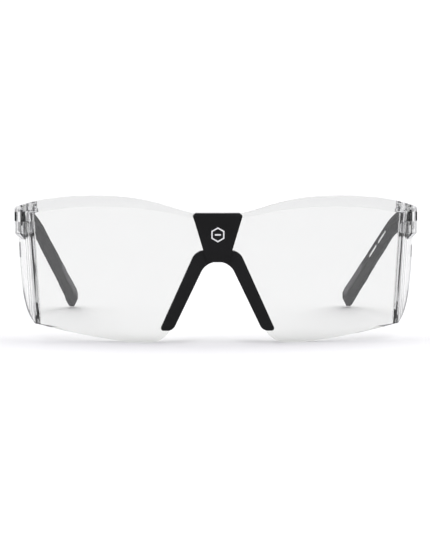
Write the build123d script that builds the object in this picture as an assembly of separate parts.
from build123d import *
import os
from math import cos, radians, sin, sqrt

# Sports protective glasses: a one-piece clear shield, a black bridge and nosepiece, and two folding temples.
# Millimetres. X points to the wearer's left, Y from the front of the shield to the wearer's head, Z up.
# Y is measured from the front of the shield while modelling, and every piece is then moved by ORIGIN_SHIFT,
# so that the origin lies under the middle of the object, on the surface that it stands on.

# Shield in plan
FACE_RADIUS = 169.0         # curve of the front face
WALL = 2.2                  # thickness of the clear plastic
CORNER_X = 67.7             # where the front turns into a side wing, at CORNER_HEIGHT
CORNER_HEIGHT = 37.0
CORNER_RADIUS = 3.2         # of the outer surface
MIN_CORNER = 0.8            # surfaces behind the face keep at least this rounding at the corner
WING_SLOPE = 6.0 / 18.9     # how far a wing runs out for each millimetre back
WING_LEAN = 0.055           # and for each millimetre up
WING_END_Y = 31.6
WING_SWEEP = [(12.5, 4.9), (23.7, 8.9), (28.6, 13.4), (31.3, 20.0), (32.0, 29.0)]   # lower edge, from the side
WING_TOP_Z = 37.0           # the wing's rear edge is straight above this height
REAR_LIMIT = 60.0           # working solids reach this far back and up, well past the wings
RIB_RADIUS = 0.8
RIB_PROUD = 0.35            # a rib stands this far out of the wing's inner face
RIB_PLACES = (4.5, 7.5, 10.5)

# Shield from the front: heights of the top edge and of the brow's lower line
TOP_EDGE = [(0, 45.7), (9, 46.5), (19.3, 49.4), (29.2, 51.6), (43.5, 52.5), (59, 51.6), (67, 50.1),
            (76, 46.9)]
BROW_LINE = [(0, 43.6), (9, 44.8), (24.3, 47.7), (38, 48.7), (54, 48.1), (66, 46.1), (76, 43.4)]
BROW_STEP = 1.4             # the brow's front step starts this far above its rear ledge
BROW_PROUD = 0.6            # the step stands this far in front of the shield
BROW_DEPTH = 4.6            # the ledge runs this far back from the shield's front
LEDGE_ROUNDING = 1.8        # of the ledge's lower rear edge
STEP_CHAMFER = 0.5          # of the step's lower front edge
BROW_END_Y = 23.0           # the ledge stops here, just ahead of the hinge
REST_INNER = 25.0           # the flat of the lower edge that stands on a table
REST_OUTER = 32.0
LOWER_CORNER = (65.0, 5.7)
OUTLINE_X = 76.0            # outlines close here, outside the wings

# Nosepiece, from the front
ARCH_TOP = 29.1             # height of the arch over the nose
ARCH_HALF = 4.2             # half width of the arch where its top meets the legs
LEG_LEAN = 0.48             # how far a leg leans out for each millimetre down
LEG_END = 4.3               # height of the legs' ends
LEG_WIDTH = 4.6             # across a leg at its end, measured level
SHOULDER_WIDTH = 5.5        # across a leg where it meets the crown
ARCH_CROWN = 33.1           # top of the nosepiece, behind the cap
LIP_PROUD = 0.8             # the nosepiece stands this far in front of the shield
FRAME_DEPTH = 5.2
NOTCH_INSET = 1.1           # the shield's notch is this much wider than the arch
NOTCH_END = 5.6             # below this height the notch's edge curves out to the flat lower edge
PAD_DEPTH = 7.0
PAD_OVERLAP = 0.2           # the pad starts this far inside the leg's back
# Depth, height, length, width and outward shift at a pad's front and back
PAD_SECTIONS = [(0.0, 15.4, 20.0, 3.6, 0.0), (PAD_DEPTH, 14.8, 18.0, 2.6, 0.6)]
PEG_RADIUS = 0.7
PEG_HEIGHTS = (11.0, 20.0)
PEG_LENGTH = 2.0
PEG_GRIP = 1.4              # how far a peg reaches into the leg

# Bridge cap
CAP_OUTLINE = [(4.0, ARCH_TOP), (5.2, 33.3), (8.8, 45.2), (8.8, 46.5)]
CAP_FRONT = -3.0
CAP_BACK = 6.0
CAP_RADIUS = 20.0           # its front face is part of an upright drum
CAP_EDGE = 0.9              # chamfer along its top
SCREW_HEIGHT = 38.0
POST_RADIUS = 1.7
TAB_HALF = 4.4
TAB_TOP = 41.2
TAB_THICKNESS = 2.2
TAB_CORNER = 1.5
BRIDGE_SHANK = 0.8
BRIDGE_HEAD = 1.5
BRIDGE_HEAD_HEIGHT = 0.9
SCREW_REACH = 1.2           # the bridge screw ends this far in front of the shield's face

# Hinge
PIN_X = 71.6
PIN_Y = 28.5
LUG_RADIUS = 2.9
LUG_LENGTH = 8.5            # how far the lug runs forward into the wing
LUG_BOTTOM = 36.0
LUG_TAPER = 2.1             # chamfer around the lug's underside
SLOT_BOTTOM = 42.4
SLOT_TOP = 46.1
SLOT_GAP = 0.15             # play above and below the temple's tongue
KNUCKLE_GAP = 0.3           # play in front of the knuckle
PIN_RADIUS = 0.75
PIN_PLAY = 0.05
PIN_BOTTOM = 38.0
HEAD_RADIUS = 1.4
HEAD_SEAT = 46.75
HEAD_HEIGHT = 0.7
DRIVE_DEPTH = 0.35
DRIVE_WIDTH = 0.4

# Temples: distance back, outer face, thickness, middle height and section height at each station
TEMPLE_FRONT = [(33.0, 74.0, 5.4, 43.9, 6.2), (40.0, 72.8, 4.6, 43.2, 6.2), (50.0, 70.9, 3.4, 41.3, 6.2)]
STRAIGHT_START = (62.0, 68.9, 2.8, 37.9, 6.2)
STRAIGHT_END = (152.0, 60.4, 3.2, 5.4, 8.4)
STRAIGHT_STATIONS = 8
TIP_Y = 161.0
TIP_STATIONS = 6
TIP_BLUNTNESS = 0.97        # the end keeps a small flat instead of coming to a point
CREASE_HEIGHT = 0.36        # the inner face folds here, as a share of the section's height
CREASE_DEPTH = 0.42         # and leans in by this share of its thickness
SECTION_EDGE = 0.5
TOP_BEVEL = (0.9, 1.4)      # across and down, along the upper inner edge
GRIP_START = 114.0          # centres of the grip's round ends
GRIP_END = 151.0
GRIP_WIDTH = 3.2
GRIP_RISE = 1.2             # the grip sits this far above the temple's middle line
GRIP_POCKET = 0.9
GRIP_PROUD = 0.25

ORIGIN_SHIFT = Pos(0, -(CAP_FRONT + TIP_Y) / 2, 0)


def face_y(x, inset=0.0):
    """Distance back of the shield's front face at x, or of the face that lies `inset` behind it."""
    radius = FACE_RADIUS - inset
    return FACE_RADIUS - sqrt(radius**2 - x**2)


def mirrored(points):
    """A list of points from the centre outward, with its mirror image in front of it."""
    other_side = [(-x, z) for x, z in reversed(points) if x > 0]
    return other_side + points


def behind_face(inset):
    """Everything behind the shield's outer surface, moved in by `inset`: a drum cut by two leaning planes."""
    centre = (Align.CENTER, Align.CENTER, Align.MIN)
    drum = Pos(0, FACE_RADIUS, -1) * Cylinder(FACE_RADIUS - inset, REAR_LIMIT + 1, align=centre)
    near_half = Box(4 * OUTLINE_X, 2 * REAR_LIMIT, REAR_LIMIT + 1, align=centre)
    solid = drum & (Pos(0, REAR_LIMIT / 2, -1) * near_half)
    corner_y = face_y(CORNER_X)
    for side in (-1, 1):
        outward = Vector(side, -WING_SLOPE, -WING_LEAN).normalized()
        corner = Vector(side * CORNER_X, corner_y, CORNER_HEIGHT)
        face = Plane(origin=corner - outward * inset, z_dir=outward)
        solid -= face * Box(6 * OUTLINE_X, 6 * OUTLINE_X, OUTLINE_X, align=centre)
        edge = solid.edges().sort_by_distance(corner - outward * inset)[0]
        solid = fillet(edge, max(CORNER_RADIUS - inset, MIN_CORNER))
    return solid


def shell(front_inset, back_inset):
    """Wall that follows the shield, between two depths behind its outer surface."""
    rear_strip = Pos(0, REAR_LIMIT, 0) * Box(4 * OUTLINE_X, REAR_LIMIT / 2, 4 * REAR_LIMIT)
    return behind_face(front_inset) - behind_face(back_inset) - rear_strip


def front_prism(outline):
    """Prism along Y through a closed outline drawn from the front."""
    return extrude(Plane.XZ * outline, amount=2 * REAR_LIMIT, both=True)


def under_line(points, lift=0.0):
    """Front outline of everything below a symmetric curve."""
    raised = [(x, z + lift) for x, z in mirrored(points)]
    curve = Spline(*raised)
    box = Polyline(raised[-1], (OUTLINE_X, -1), (-OUTLINE_X, -1), raised[0])
    return make_face([curve, *box.edges()])


def leg_x(z, outward=0.0):
    """Level position of a nosepiece leg's inner edge at height z."""
    return ARCH_HALF + (ARCH_TOP - z) * LEG_LEAN + outward


def lower_cut():
    """Front outline of the space below the shield: the nose notch and the rising lower edges."""
    notch_top = ARCH_TOP + NOTCH_INSET
    notch = Polyline(
        (-leg_x(NOTCH_END, NOTCH_INSET), NOTCH_END),
        (-leg_x(notch_top, NOTCH_INSET), notch_top),
        (leg_x(notch_top, NOTCH_INSET), notch_top),
        (leg_x(NOTCH_END, NOTCH_INSET), NOTCH_END),
    )
    down_leg = (LEG_LEAN, -1)
    edges = list(notch.edges())
    for side in (-1, 1):
        edges.append(Spline(
            (side * leg_x(NOTCH_END, NOTCH_INSET), NOTCH_END),
            (side * REST_INNER, 0),
            tangents=[(side * down_leg[0], down_leg[1]), (side, 0)],
        ))
        edges.append(Line((side * REST_INNER, 0), (side * REST_OUTER, 0)))
        middle = ((REST_OUTER + LOWER_CORNER[0]) / 2, LOWER_CORNER[1] * 0.42)
        edges.append(ThreePointArc((side * REST_OUTER, 0), (side * middle[0], middle[1]),
                                   (side * LOWER_CORNER[0], LOWER_CORNER[1])))
        edges.append(Line((side * LOWER_CORNER[0], LOWER_CORNER[1]), (side * OUTLINE_X, LOWER_CORNER[1])))
        edges.append(Line((side * OUTLINE_X, LOWER_CORNER[1]), (side * OUTLINE_X, -1)))
    edges.append(Line((-OUTLINE_X, -1), (OUTLINE_X, -1)))
    return make_face(edges)


def side_prism():
    """Side outline of the wings: a lower edge that sweeps back and then climbs to the hinge."""
    top = REAR_LIMIT
    sweep = Spline(*WING_SWEEP, tangents=[(1, 0.3), (0.05, 1)])
    rest = Polyline(WING_SWEEP[-1], (WING_END_Y, WING_TOP_Z), (WING_END_Y, top), (-5, top), (-5, -1),
                    (8, -1), WING_SWEEP[0])
    area = make_face([*sweep.edges(), *rest.edges()])
    return extrude(Plane.YZ * area, amount=2 * OUTLINE_X, both=True)


def wing_ribs():
    """Low ribs that stiffen the inner face of each wing and lean with it."""
    inset = WALL + RIB_PROUD - RIB_RADIUS
    length = sqrt(1 + WING_SLOPE**2)
    ribs = Part()
    for side in (-1, 1):
        for along in RIB_PLACES:
            x = side * (CORNER_X + (along * WING_SLOPE - inset) / length)
            y = face_y(CORNER_X) + (along + inset * WING_SLOPE) / length
            line = Plane(origin=(x, y, CORNER_HEIGHT), z_dir=(side * WING_LEAN, 0, 1))
            ribs += line * Cylinder(RIB_RADIUS, 2 * CORNER_HEIGHT)
    below_hinge = Pos(0, 0, SLOT_BOTTOM - 1.0) * Box(4 * OUTLINE_X, 4 * REAR_LIMIT, 4 * REAR_LIMIT,
                                                     align=(Align.CENTER, Align.CENTER, Align.MAX))
    return ribs & below_hinge


def hinge_lug(side):
    """Block at the top rear corner of a wing, rounded about the hinge pin."""
    turn = side * -Vector(0, 1).get_angle(Vector(WING_SLOPE, 1))
    plan = Circle(LUG_RADIUS) + Pos(0, -LUG_LENGTH / 2) * Rectangle(2 * LUG_RADIUS, LUG_LENGTH)
    block = extrude(plan, amount=REAR_LIMIT - LUG_BOTTOM)
    block = chamfer(block.edges().group_by(Axis.Z)[0], LUG_TAPER)
    return Pos(side * PIN_X, PIN_Y, LUG_BOTTOM) * Rot(0, 0, turn) * block


def hinge_slot():
    """Level gap at both ends of the shield, where the temples' tongues turn."""
    front = PIN_Y - LUG_RADIUS - KNUCKLE_GAP
    length = REAR_LIMIT - front
    gap = Box(4 * OUTLINE_X, length, SLOT_TOP - SLOT_BOTTOM, align=(Align.CENTER, Align.MIN, Align.MIN))
    return Pos(0, front, SLOT_BOTTOM) * gap


def hinge_screw(side):
    """Steel screw that is the hinge's pin, with a slotted head sunk in the upper lug."""
    shank = extrude(Circle(PIN_RADIUS), amount=HEAD_SEAT - PIN_BOTTOM)
    head = Pos(0, 0, HEAD_SEAT - PIN_BOTTOM) * extrude(Circle(HEAD_RADIUS), amount=HEAD_HEIGHT)
    drive = Pos(0, 0, HEAD_SEAT - PIN_BOTTOM + HEAD_HEIGHT) * Box(3 * HEAD_RADIUS, DRIVE_WIDTH, 2 * DRIVE_DEPTH)
    return Pos(side * PIN_X, PIN_Y, PIN_BOTTOM) * (shank + head - drive)


def screw_space(side):
    """Bore and head recess that a hinge screw fills in the shield."""
    bore = extrude(Circle(PIN_RADIUS), amount=REAR_LIMIT)
    recess = Pos(0, 0, HEAD_SEAT - PIN_BOTTOM) * extrude(Circle(HEAD_RADIUS), amount=REAR_LIMIT)
    return Pos(side * PIN_X, PIN_Y, PIN_BOTTOM) * (bore + recess)


def brow_band(front_inset, back_inset, lift):
    """Wall that follows the shield above the brow's lower line, raised by `lift`."""
    return shell(front_inset, back_inset) - front_prism(under_line(BROW_LINE, lift))


def lower_edges(band):
    """Long lower edges of a brow band across the front, from front to back."""
    middle = [edge for edge in band.edges() if edge.length > CORNER_X and abs(edge.center().X) < 1]
    return sorted(middle, key=lambda edge: edge.center().Y)


def front_shield():
    """Clear one-piece shield: lens, brow, side wings and hinge lugs."""
    plate = shell(0, WALL) + wing_ribs()
    ledge = brow_band(0, BROW_DEPTH, 0)
    ledge = fillet(lower_edges(ledge)[-1], LEDGE_ROUNDING)
    step = brow_band(-BROW_PROUD, WALL / 2, BROW_STEP)
    step = chamfer(lower_edges(step)[0], STEP_CHAMFER)
    ahead_of_hinge = Pos(0, BROW_END_Y, 0) * Box(4 * OUTLINE_X, 4 * REAR_LIMIT, 4 * REAR_LIMIT,
                                                  align=(Align.CENTER, Align.MAX, Align.CENTER))
    brow = (ledge + step) & ahead_of_hinge
    shield = (plate + brow) & side_prism()
    shield += hinge_lug(-1) + hinge_lug(1)
    shield = shield & front_prism(under_line(TOP_EDGE))
    shield -= front_prism(lower_cut())
    shield -= hinge_slot()
    shield -= screw_space(-1) + screw_space(1)
    post_hole = Pos(0, 0, SCREW_HEIGHT) * Rot(90, 0, 0) * Cylinder(POST_RADIUS, 4 * WALL)
    return shield - post_hole


def arch_outline():
    """Front outline of the nosepiece: an arch with two long leaning legs."""
    crown_x = leg_x(ARCH_CROWN, SHOULDER_WIDTH)
    points = [
        (leg_x(LEG_END), LEG_END), (ARCH_HALF, ARCH_TOP), (-ARCH_HALF, ARCH_TOP), (-leg_x(LEG_END), LEG_END),
        (-leg_x(LEG_END, LEG_WIDTH), LEG_END), (-crown_x, ARCH_CROWN), (crown_x, ARCH_CROWN),
        (leg_x(LEG_END, LEG_WIDTH), LEG_END),
    ]
    area = make_face(Polyline(*points, close=True))
    roundings = [(6.4, (1, 2)), (5.0, (5, 6)), (3.2, (0, 3)), (0.8, (4, 7))]
    for radius, corners in roundings:
        for corner in corners:
            area = fillet(area.vertices().sort_by_distance(points[corner])[0], radius)
    return area


def leg_middle(z, side):
    """Level position of the middle of a leg."""
    return side * leg_x(z, LEG_WIDTH / 2)


def pad_pegs(side):
    """Two short pegs that hold a nose pad on its leg."""
    pegs = Part()
    for height in PEG_HEIGHTS:
        back = face_y(leg_middle(height, side), FRAME_DEPTH)
        peg = Rot(-90, 0, 0) * extrude(Circle(PEG_RADIUS), amount=PEG_LENGTH)
        pegs += Pos(leg_middle(height, side), back - PEG_GRIP, height) * peg
    return pegs


def nose_frame_blank(shield):
    """Arch that grips the edge of the shield's notch, with a screw tab behind the bridge."""
    arch = (front_prism(arch_outline()) & shell(-LIP_PROUD, FRAME_DEPTH)) - shield
    inside_wall = WALL / 2
    tab_height = TAB_TOP - ARCH_TOP - 2
    tab_depth = TAB_THICKNESS + WALL - inside_wall
    tab = Pos(0, inside_wall, TAB_TOP - tab_height / 2) * Box(
        2 * TAB_HALF, tab_depth, tab_height, align=(Align.CENTER, Align.MIN, Align.CENTER))
    tab = fillet(tab.edges().filter_by(Axis.Y).group_by(Axis.Z)[-1], TAB_CORNER)
    return arch + (tab - shield - cap_post())


def nose_frame(blank):
    """Finished nose arch, with its screw hole and the pegs' holes."""
    screw_hole = Pos(0, WALL, SCREW_HEIGHT) * Rot(90, 0, 0) * Cylinder(BRIDGE_SHANK + 0.1, 4 * TAB_THICKNESS)
    return blank - screw_hole - pad_pegs(-1) - pad_pegs(1)


def nose_pad(side, blank):
    """Soft pad behind a leg, which flares out as the nose widens towards the face."""
    lean = side * Vector(0, 1).get_angle(Vector(LEG_LEAN, 1))
    sections = []
    for depth, height, length, width, spread in PAD_SECTIONS:
        section = Rot(0, 0, lean + 90) * SlotOverall(length, width)
        middle = leg_middle(height, side) + side * spread
        sections.append(Pos(middle, FRAME_DEPTH - PAD_OVERLAP + depth, height) * Rot(90, 0, 0) * section)
    return loft(sections) - blank + pad_pegs(side)


def cap_post():
    """Post behind the cap that fills the shield's hole and takes the screw."""
    return Pos(0, 0, SCREW_HEIGHT) * Rot(-90, 0, 0) * extrude(Circle(POST_RADIUS), amount=WALL)


def bridge_cap(shield, frame):
    """Black cap that hooks over the brow, with a screw post through the shield."""
    right = CAP_OUTLINE
    left = [(-x, z) for x, z in reversed(right)]
    outline = make_face(Polyline(*right, *left, close=True))
    block = front_prism(outline) & Pos(0, CAP_FRONT + CAP_RADIUS, 0) * Cylinder(CAP_RADIUS, 200)
    depth = CAP_BACK - CAP_FRONT
    block = block & (Pos(0, CAP_FRONT + depth / 2, 0) * Box(60, depth, 200))
    block = chamfer(block.edges().group_by(Axis.Z)[-1], CAP_EDGE)
    below_brow = Pos(0, 0, BROW_LINE[0][1]) * Box(60, 4 * REAR_LIMIT, 4 * REAR_LIMIT,
                                                  align=(Align.CENTER, Align.CENTER, Align.MAX))
    behind = behind_face(WALL) & below_brow
    bore = Pos(0, -SCREW_REACH, SCREW_HEIGHT) * Rot(-90, 0, 0) * extrude(Circle(BRIDGE_SHANK), amount=10)
    return block - behind - shield - frame + cap_post() - bore


def bridge_screw():
    """Screw from behind that clamps the nosepiece and the cap on the shield."""
    head_y = WALL + TAB_THICKNESS
    start = Pos(0, -SCREW_REACH, SCREW_HEIGHT) * Rot(-90, 0, 0)
    shank = start * extrude(Circle(BRIDGE_SHANK), amount=head_y + SCREW_REACH)
    seat = Pos(0, head_y, SCREW_HEIGHT) * Rot(-90, 0, 0)
    head = seat * extrude(Circle(BRIDGE_HEAD), amount=BRIDGE_HEAD_HEIGHT)
    drive = Pos(0, head_y + BRIDGE_HEAD_HEIGHT, SCREW_HEIGHT) * Box(3 * BRIDGE_HEAD, 2 * DRIVE_DEPTH, DRIVE_WIDTH)
    return shank + head - drive


def temple_stations():
    """Stations of a temple from the hinge to its rounded end."""
    stations = list(TEMPLE_FRONT)
    for step in range(STRAIGHT_STATIONS):
        share = step / (STRAIGHT_STATIONS - 1)
        stations.append(tuple(a + (b - a) * share for a, b in zip(STRAIGHT_START, STRAIGHT_END)))
    start_y, outer, thickness, middle, height = STRAIGHT_END
    length = TIP_Y - start_y
    outer_slope = (STRAIGHT_END[1] - STRAIGHT_START[1]) / (STRAIGHT_END[0] - STRAIGHT_START[0])
    fall = (STRAIGHT_END[3] - STRAIGHT_START[3]) / (STRAIGHT_END[0] - STRAIGHT_START[0])
    for step in range(1, TIP_STATIONS + 1):
        turn = radians(90) * TIP_BLUNTNESS * step / TIP_STATIONS
        travel = length * sin(turn) / sin(radians(90) * TIP_BLUNTNESS)
        share = cos(turn)
        bottom = middle + fall * travel - height / 2
        rise = (1 - share) * height * 0.55
        stations.append((start_y + travel, outer + outer_slope * travel - (1 - share) * thickness * 0.25,
                         thickness * (0.5 + 0.5 * share), max(bottom, 0) + rise + height * share / 2,
                         height * share))
    return stations


def temple_section(station):
    """Section of a temple: a flat outer face and an inner face folded along its length."""
    y, outer, thickness, middle, height = station
    inner = outer - thickness
    bottom = middle - height / 2
    top = middle + height / 2
    scale = height / STRAIGHT_END[4]
    edge = SECTION_EDGE * scale
    crease = bottom + CREASE_HEIGHT * height
    points = [
        (outer - edge, bottom), (outer, bottom + edge), (outer, top - edge), (outer - edge, top),
        (inner + TOP_BEVEL[0] * scale, top), (inner, top - TOP_BEVEL[1] * scale), (inner, crease),
        (inner + CREASE_DEPTH * thickness, bottom),
    ]
    return Plane.XZ.offset(-y) * make_face(Polyline(*points, close=True))


def temple_body():
    """Temple of the wearer's left side without its hinge."""
    return loft([temple_section(station) for station in temple_stations()])


def along_straight(y):
    """Outer face, thickness, middle height and section height on the temple's straight run."""
    share = (y - STRAIGHT_START[0]) / (STRAIGHT_END[0] - STRAIGHT_START[0])
    return [a + (b - a) * share for a, b in zip(STRAIGHT_START[1:], STRAIGHT_END[1:])]


def grip_slot():
    """Side outline of the grip's pocket, a long rounded slot along the temple's end."""
    from_z = along_straight(GRIP_START)[2] + GRIP_RISE
    to_z = along_straight(GRIP_END)[2] + GRIP_RISE
    slot = SlotCenterToCenter(Vector(GRIP_END - GRIP_START, to_z - from_z).length, GRIP_WIDTH)
    turn = Vector(1, 0).get_angle(Vector(GRIP_END - GRIP_START, to_z - from_z))
    middle = Pos((GRIP_START + GRIP_END) / 2, (from_z + to_z) / 2)
    return extrude(Plane.YZ * (middle * Rot(0, 0, -turn) * slot), amount=OUTLINE_X)


def temple_grip():
    """Soft insert on the inner face near the temple's end."""
    corners = []
    for y, depth in ((GRIP_START - 20, -GRIP_PROUD), (TIP_Y, -GRIP_PROUD), (TIP_Y, GRIP_POCKET),
                     (GRIP_START - 20, GRIP_POCKET)):
        outer, thickness, _, _ = along_straight(y)
        corners.append((outer - thickness + depth, y))
    plate = extrude(make_face(Polyline(*corners, close=True)), amount=REAR_LIMIT)
    return plate & grip_slot()


def temple_tongue():
    """Knuckle and neck that turn in the shield's slot."""
    height = SLOT_TOP - SLOT_BOTTOM - 2 * SLOT_GAP
    neck_length = TEMPLE_FRONT[0][0] - PIN_Y + 1.0
    plan = Circle(LUG_RADIUS) + Pos(0, neck_length / 2) * Rectangle(1.8 * LUG_RADIUS, neck_length)
    plan -= Circle(PIN_RADIUS + PIN_PLAY)
    return Pos(PIN_X, PIN_Y, SLOT_BOTTOM + SLOT_GAP) * extrude(plan, amount=height)


def temple_arm(grip):
    """Whole arm of the wearer's left side."""
    return temple_body() + temple_tongue() - grip


def save(piece, name):
    """Move a piece to the object's origin and write it."""
    export_step(ORIGIN_SHIFT * piece, f"parts/{name}.step")


os.makedirs("parts", exist_ok=True)
shield = front_shield()
save(shield, "front_shield")
frame_blank = nose_frame_blank(shield)
save(nose_frame(frame_blank), "nose_frame")
save(bridge_cap(shield, frame_blank), "bridge_cap")
save(bridge_screw(), "bridge_screw")
grip = temple_grip()
arm = temple_arm(grip)
for name, side in (("left", 1), ("right", -1)):
    save(nose_pad(side, frame_blank), f"nose_pad_{name}")
    save(hinge_screw(side), f"hinge_screw_{name}")
    save(arm if side > 0 else mirror(arm, about=Plane.YZ), f"temple_arm_{name}")
    save(grip if side > 0 else mirror(grip, about=Plane.YZ), f"temple_grip_{name}")
